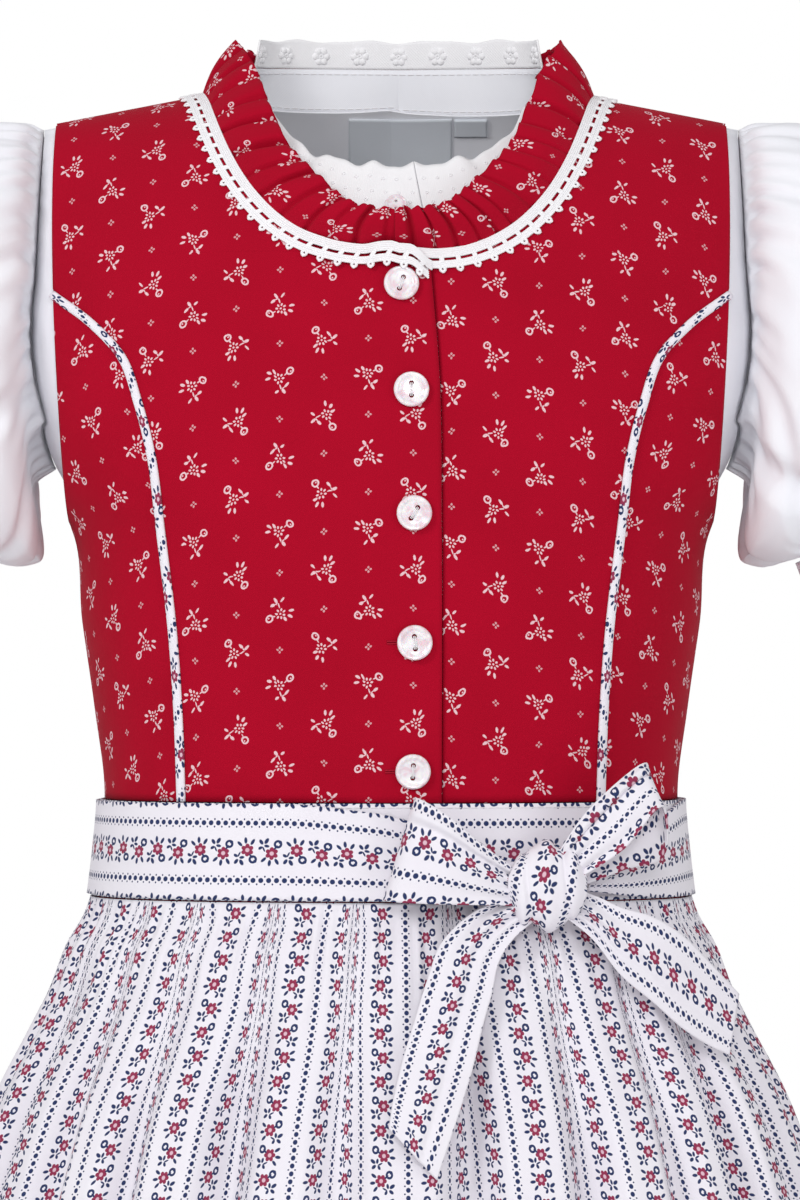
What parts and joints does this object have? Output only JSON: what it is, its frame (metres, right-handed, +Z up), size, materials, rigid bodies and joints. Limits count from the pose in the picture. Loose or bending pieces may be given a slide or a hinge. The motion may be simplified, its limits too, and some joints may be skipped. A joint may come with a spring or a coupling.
{
  "type": "dirndl with blouse and apron",
  "caption": "Child's sleeveless red dirndl with gathered neck frill and ladder lace, worn with a white puff-sleeved blouse and a striped apron tied in a bow.",
  "frame": {"origin": "between the shoulders, level with the shoulder seams at the neck, where the wearer's shoulders hold the dress up", "axes": "+Z up, +X to the wearer's left, -Y out of the front"},
  "size_m": [0.484, 0.3931, 0.7215],
  "materials": {
    "red_print": "matt printed cotton",
    "apron_stripe": "matt striped printed cotton",
    "white_cotton": "matt plain cotton",
    "white_lace": "matt cotton lace",
    "pearl": "pearly gloss"
  },
  "bodies": {
    "root": {"bodice_front_right": "red_print", "bodice_front_left": "red_print", "bodice_side_right": "red_print", "bodice_side_left": "red_print", "bodice_back": "red_print", "neck_frill": "red_print", "skirt_front": "red_print", "skirt_back": "red_print", "piping_right": "apron_stripe", "piping_left": "apron_stripe", "apron_panel": "apron_stripe", "apron_waistband": "apron_stripe", "apron_tie_right": "apron_stripe", "apron_tie_left": "apron_stripe", "bow_loop_right": "apron_stripe", "bow_loop_left": "apron_stripe", "bow_tail_right": "apron_stripe", "bow_tail_left": "apron_stripe", "bow_knot": "apron_stripe", "blouse_front_right": "white_cotton", "blouse_front_left": "white_cotton", "blouse_back": "white_cotton", "blouse_collar_back": "white_cotton", "sleeve_right": "white_cotton", "cuff_right": "white_cotton", "sleeve_left": "white_cotton", "cuff_left": "white_cotton", "neck_label": "white_cotton", "size_tab": "white_cotton", "neck_lace_right": "white_lace", "neck_lace_left": "white_lace", "blouse_collar_right": "white_lace", "blouse_collar_left": "white_lace", "blouse_back_lace": "white_lace", "button_1": "pearl", "button_2": "pearl", "button_3": "pearl", "button_4": "pearl", "button_5": "pearl", "blouse_button": "pearl"}
  },
  "joints": []
}
